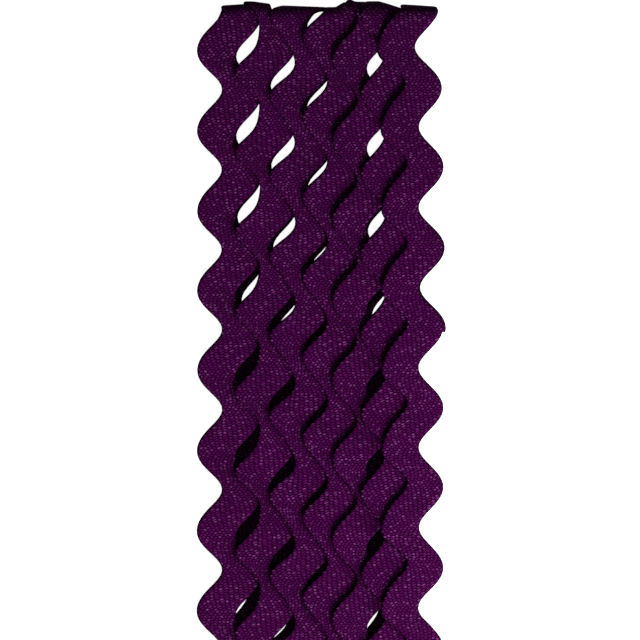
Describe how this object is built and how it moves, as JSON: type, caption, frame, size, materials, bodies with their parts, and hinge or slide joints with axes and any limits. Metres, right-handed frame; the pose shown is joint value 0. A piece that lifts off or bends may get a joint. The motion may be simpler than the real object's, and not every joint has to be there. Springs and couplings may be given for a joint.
{
  "type": "ric rac trimming hank",
  "caption": "Flat hank of purple woven ric rac tape, its wavy lengths shingled side by side and folded over at both ends.",
  "frame": {"origin": "centre of the hank's bounding box, at the surface that its back rests on", "axes": "+Z out of the front of the flat hank, +Y along the lengths towards the end that shows in the picture, +X across the hank to the right"},
  "size_m": [0.0514, 0.1712, 0.0092],
  "materials": {
    "woven_tape": "matt woven polyester"
  },
  "bodies": {
    "root": {"ric_rac_tape": "woven_tape"}
  },
  "joints": []
}
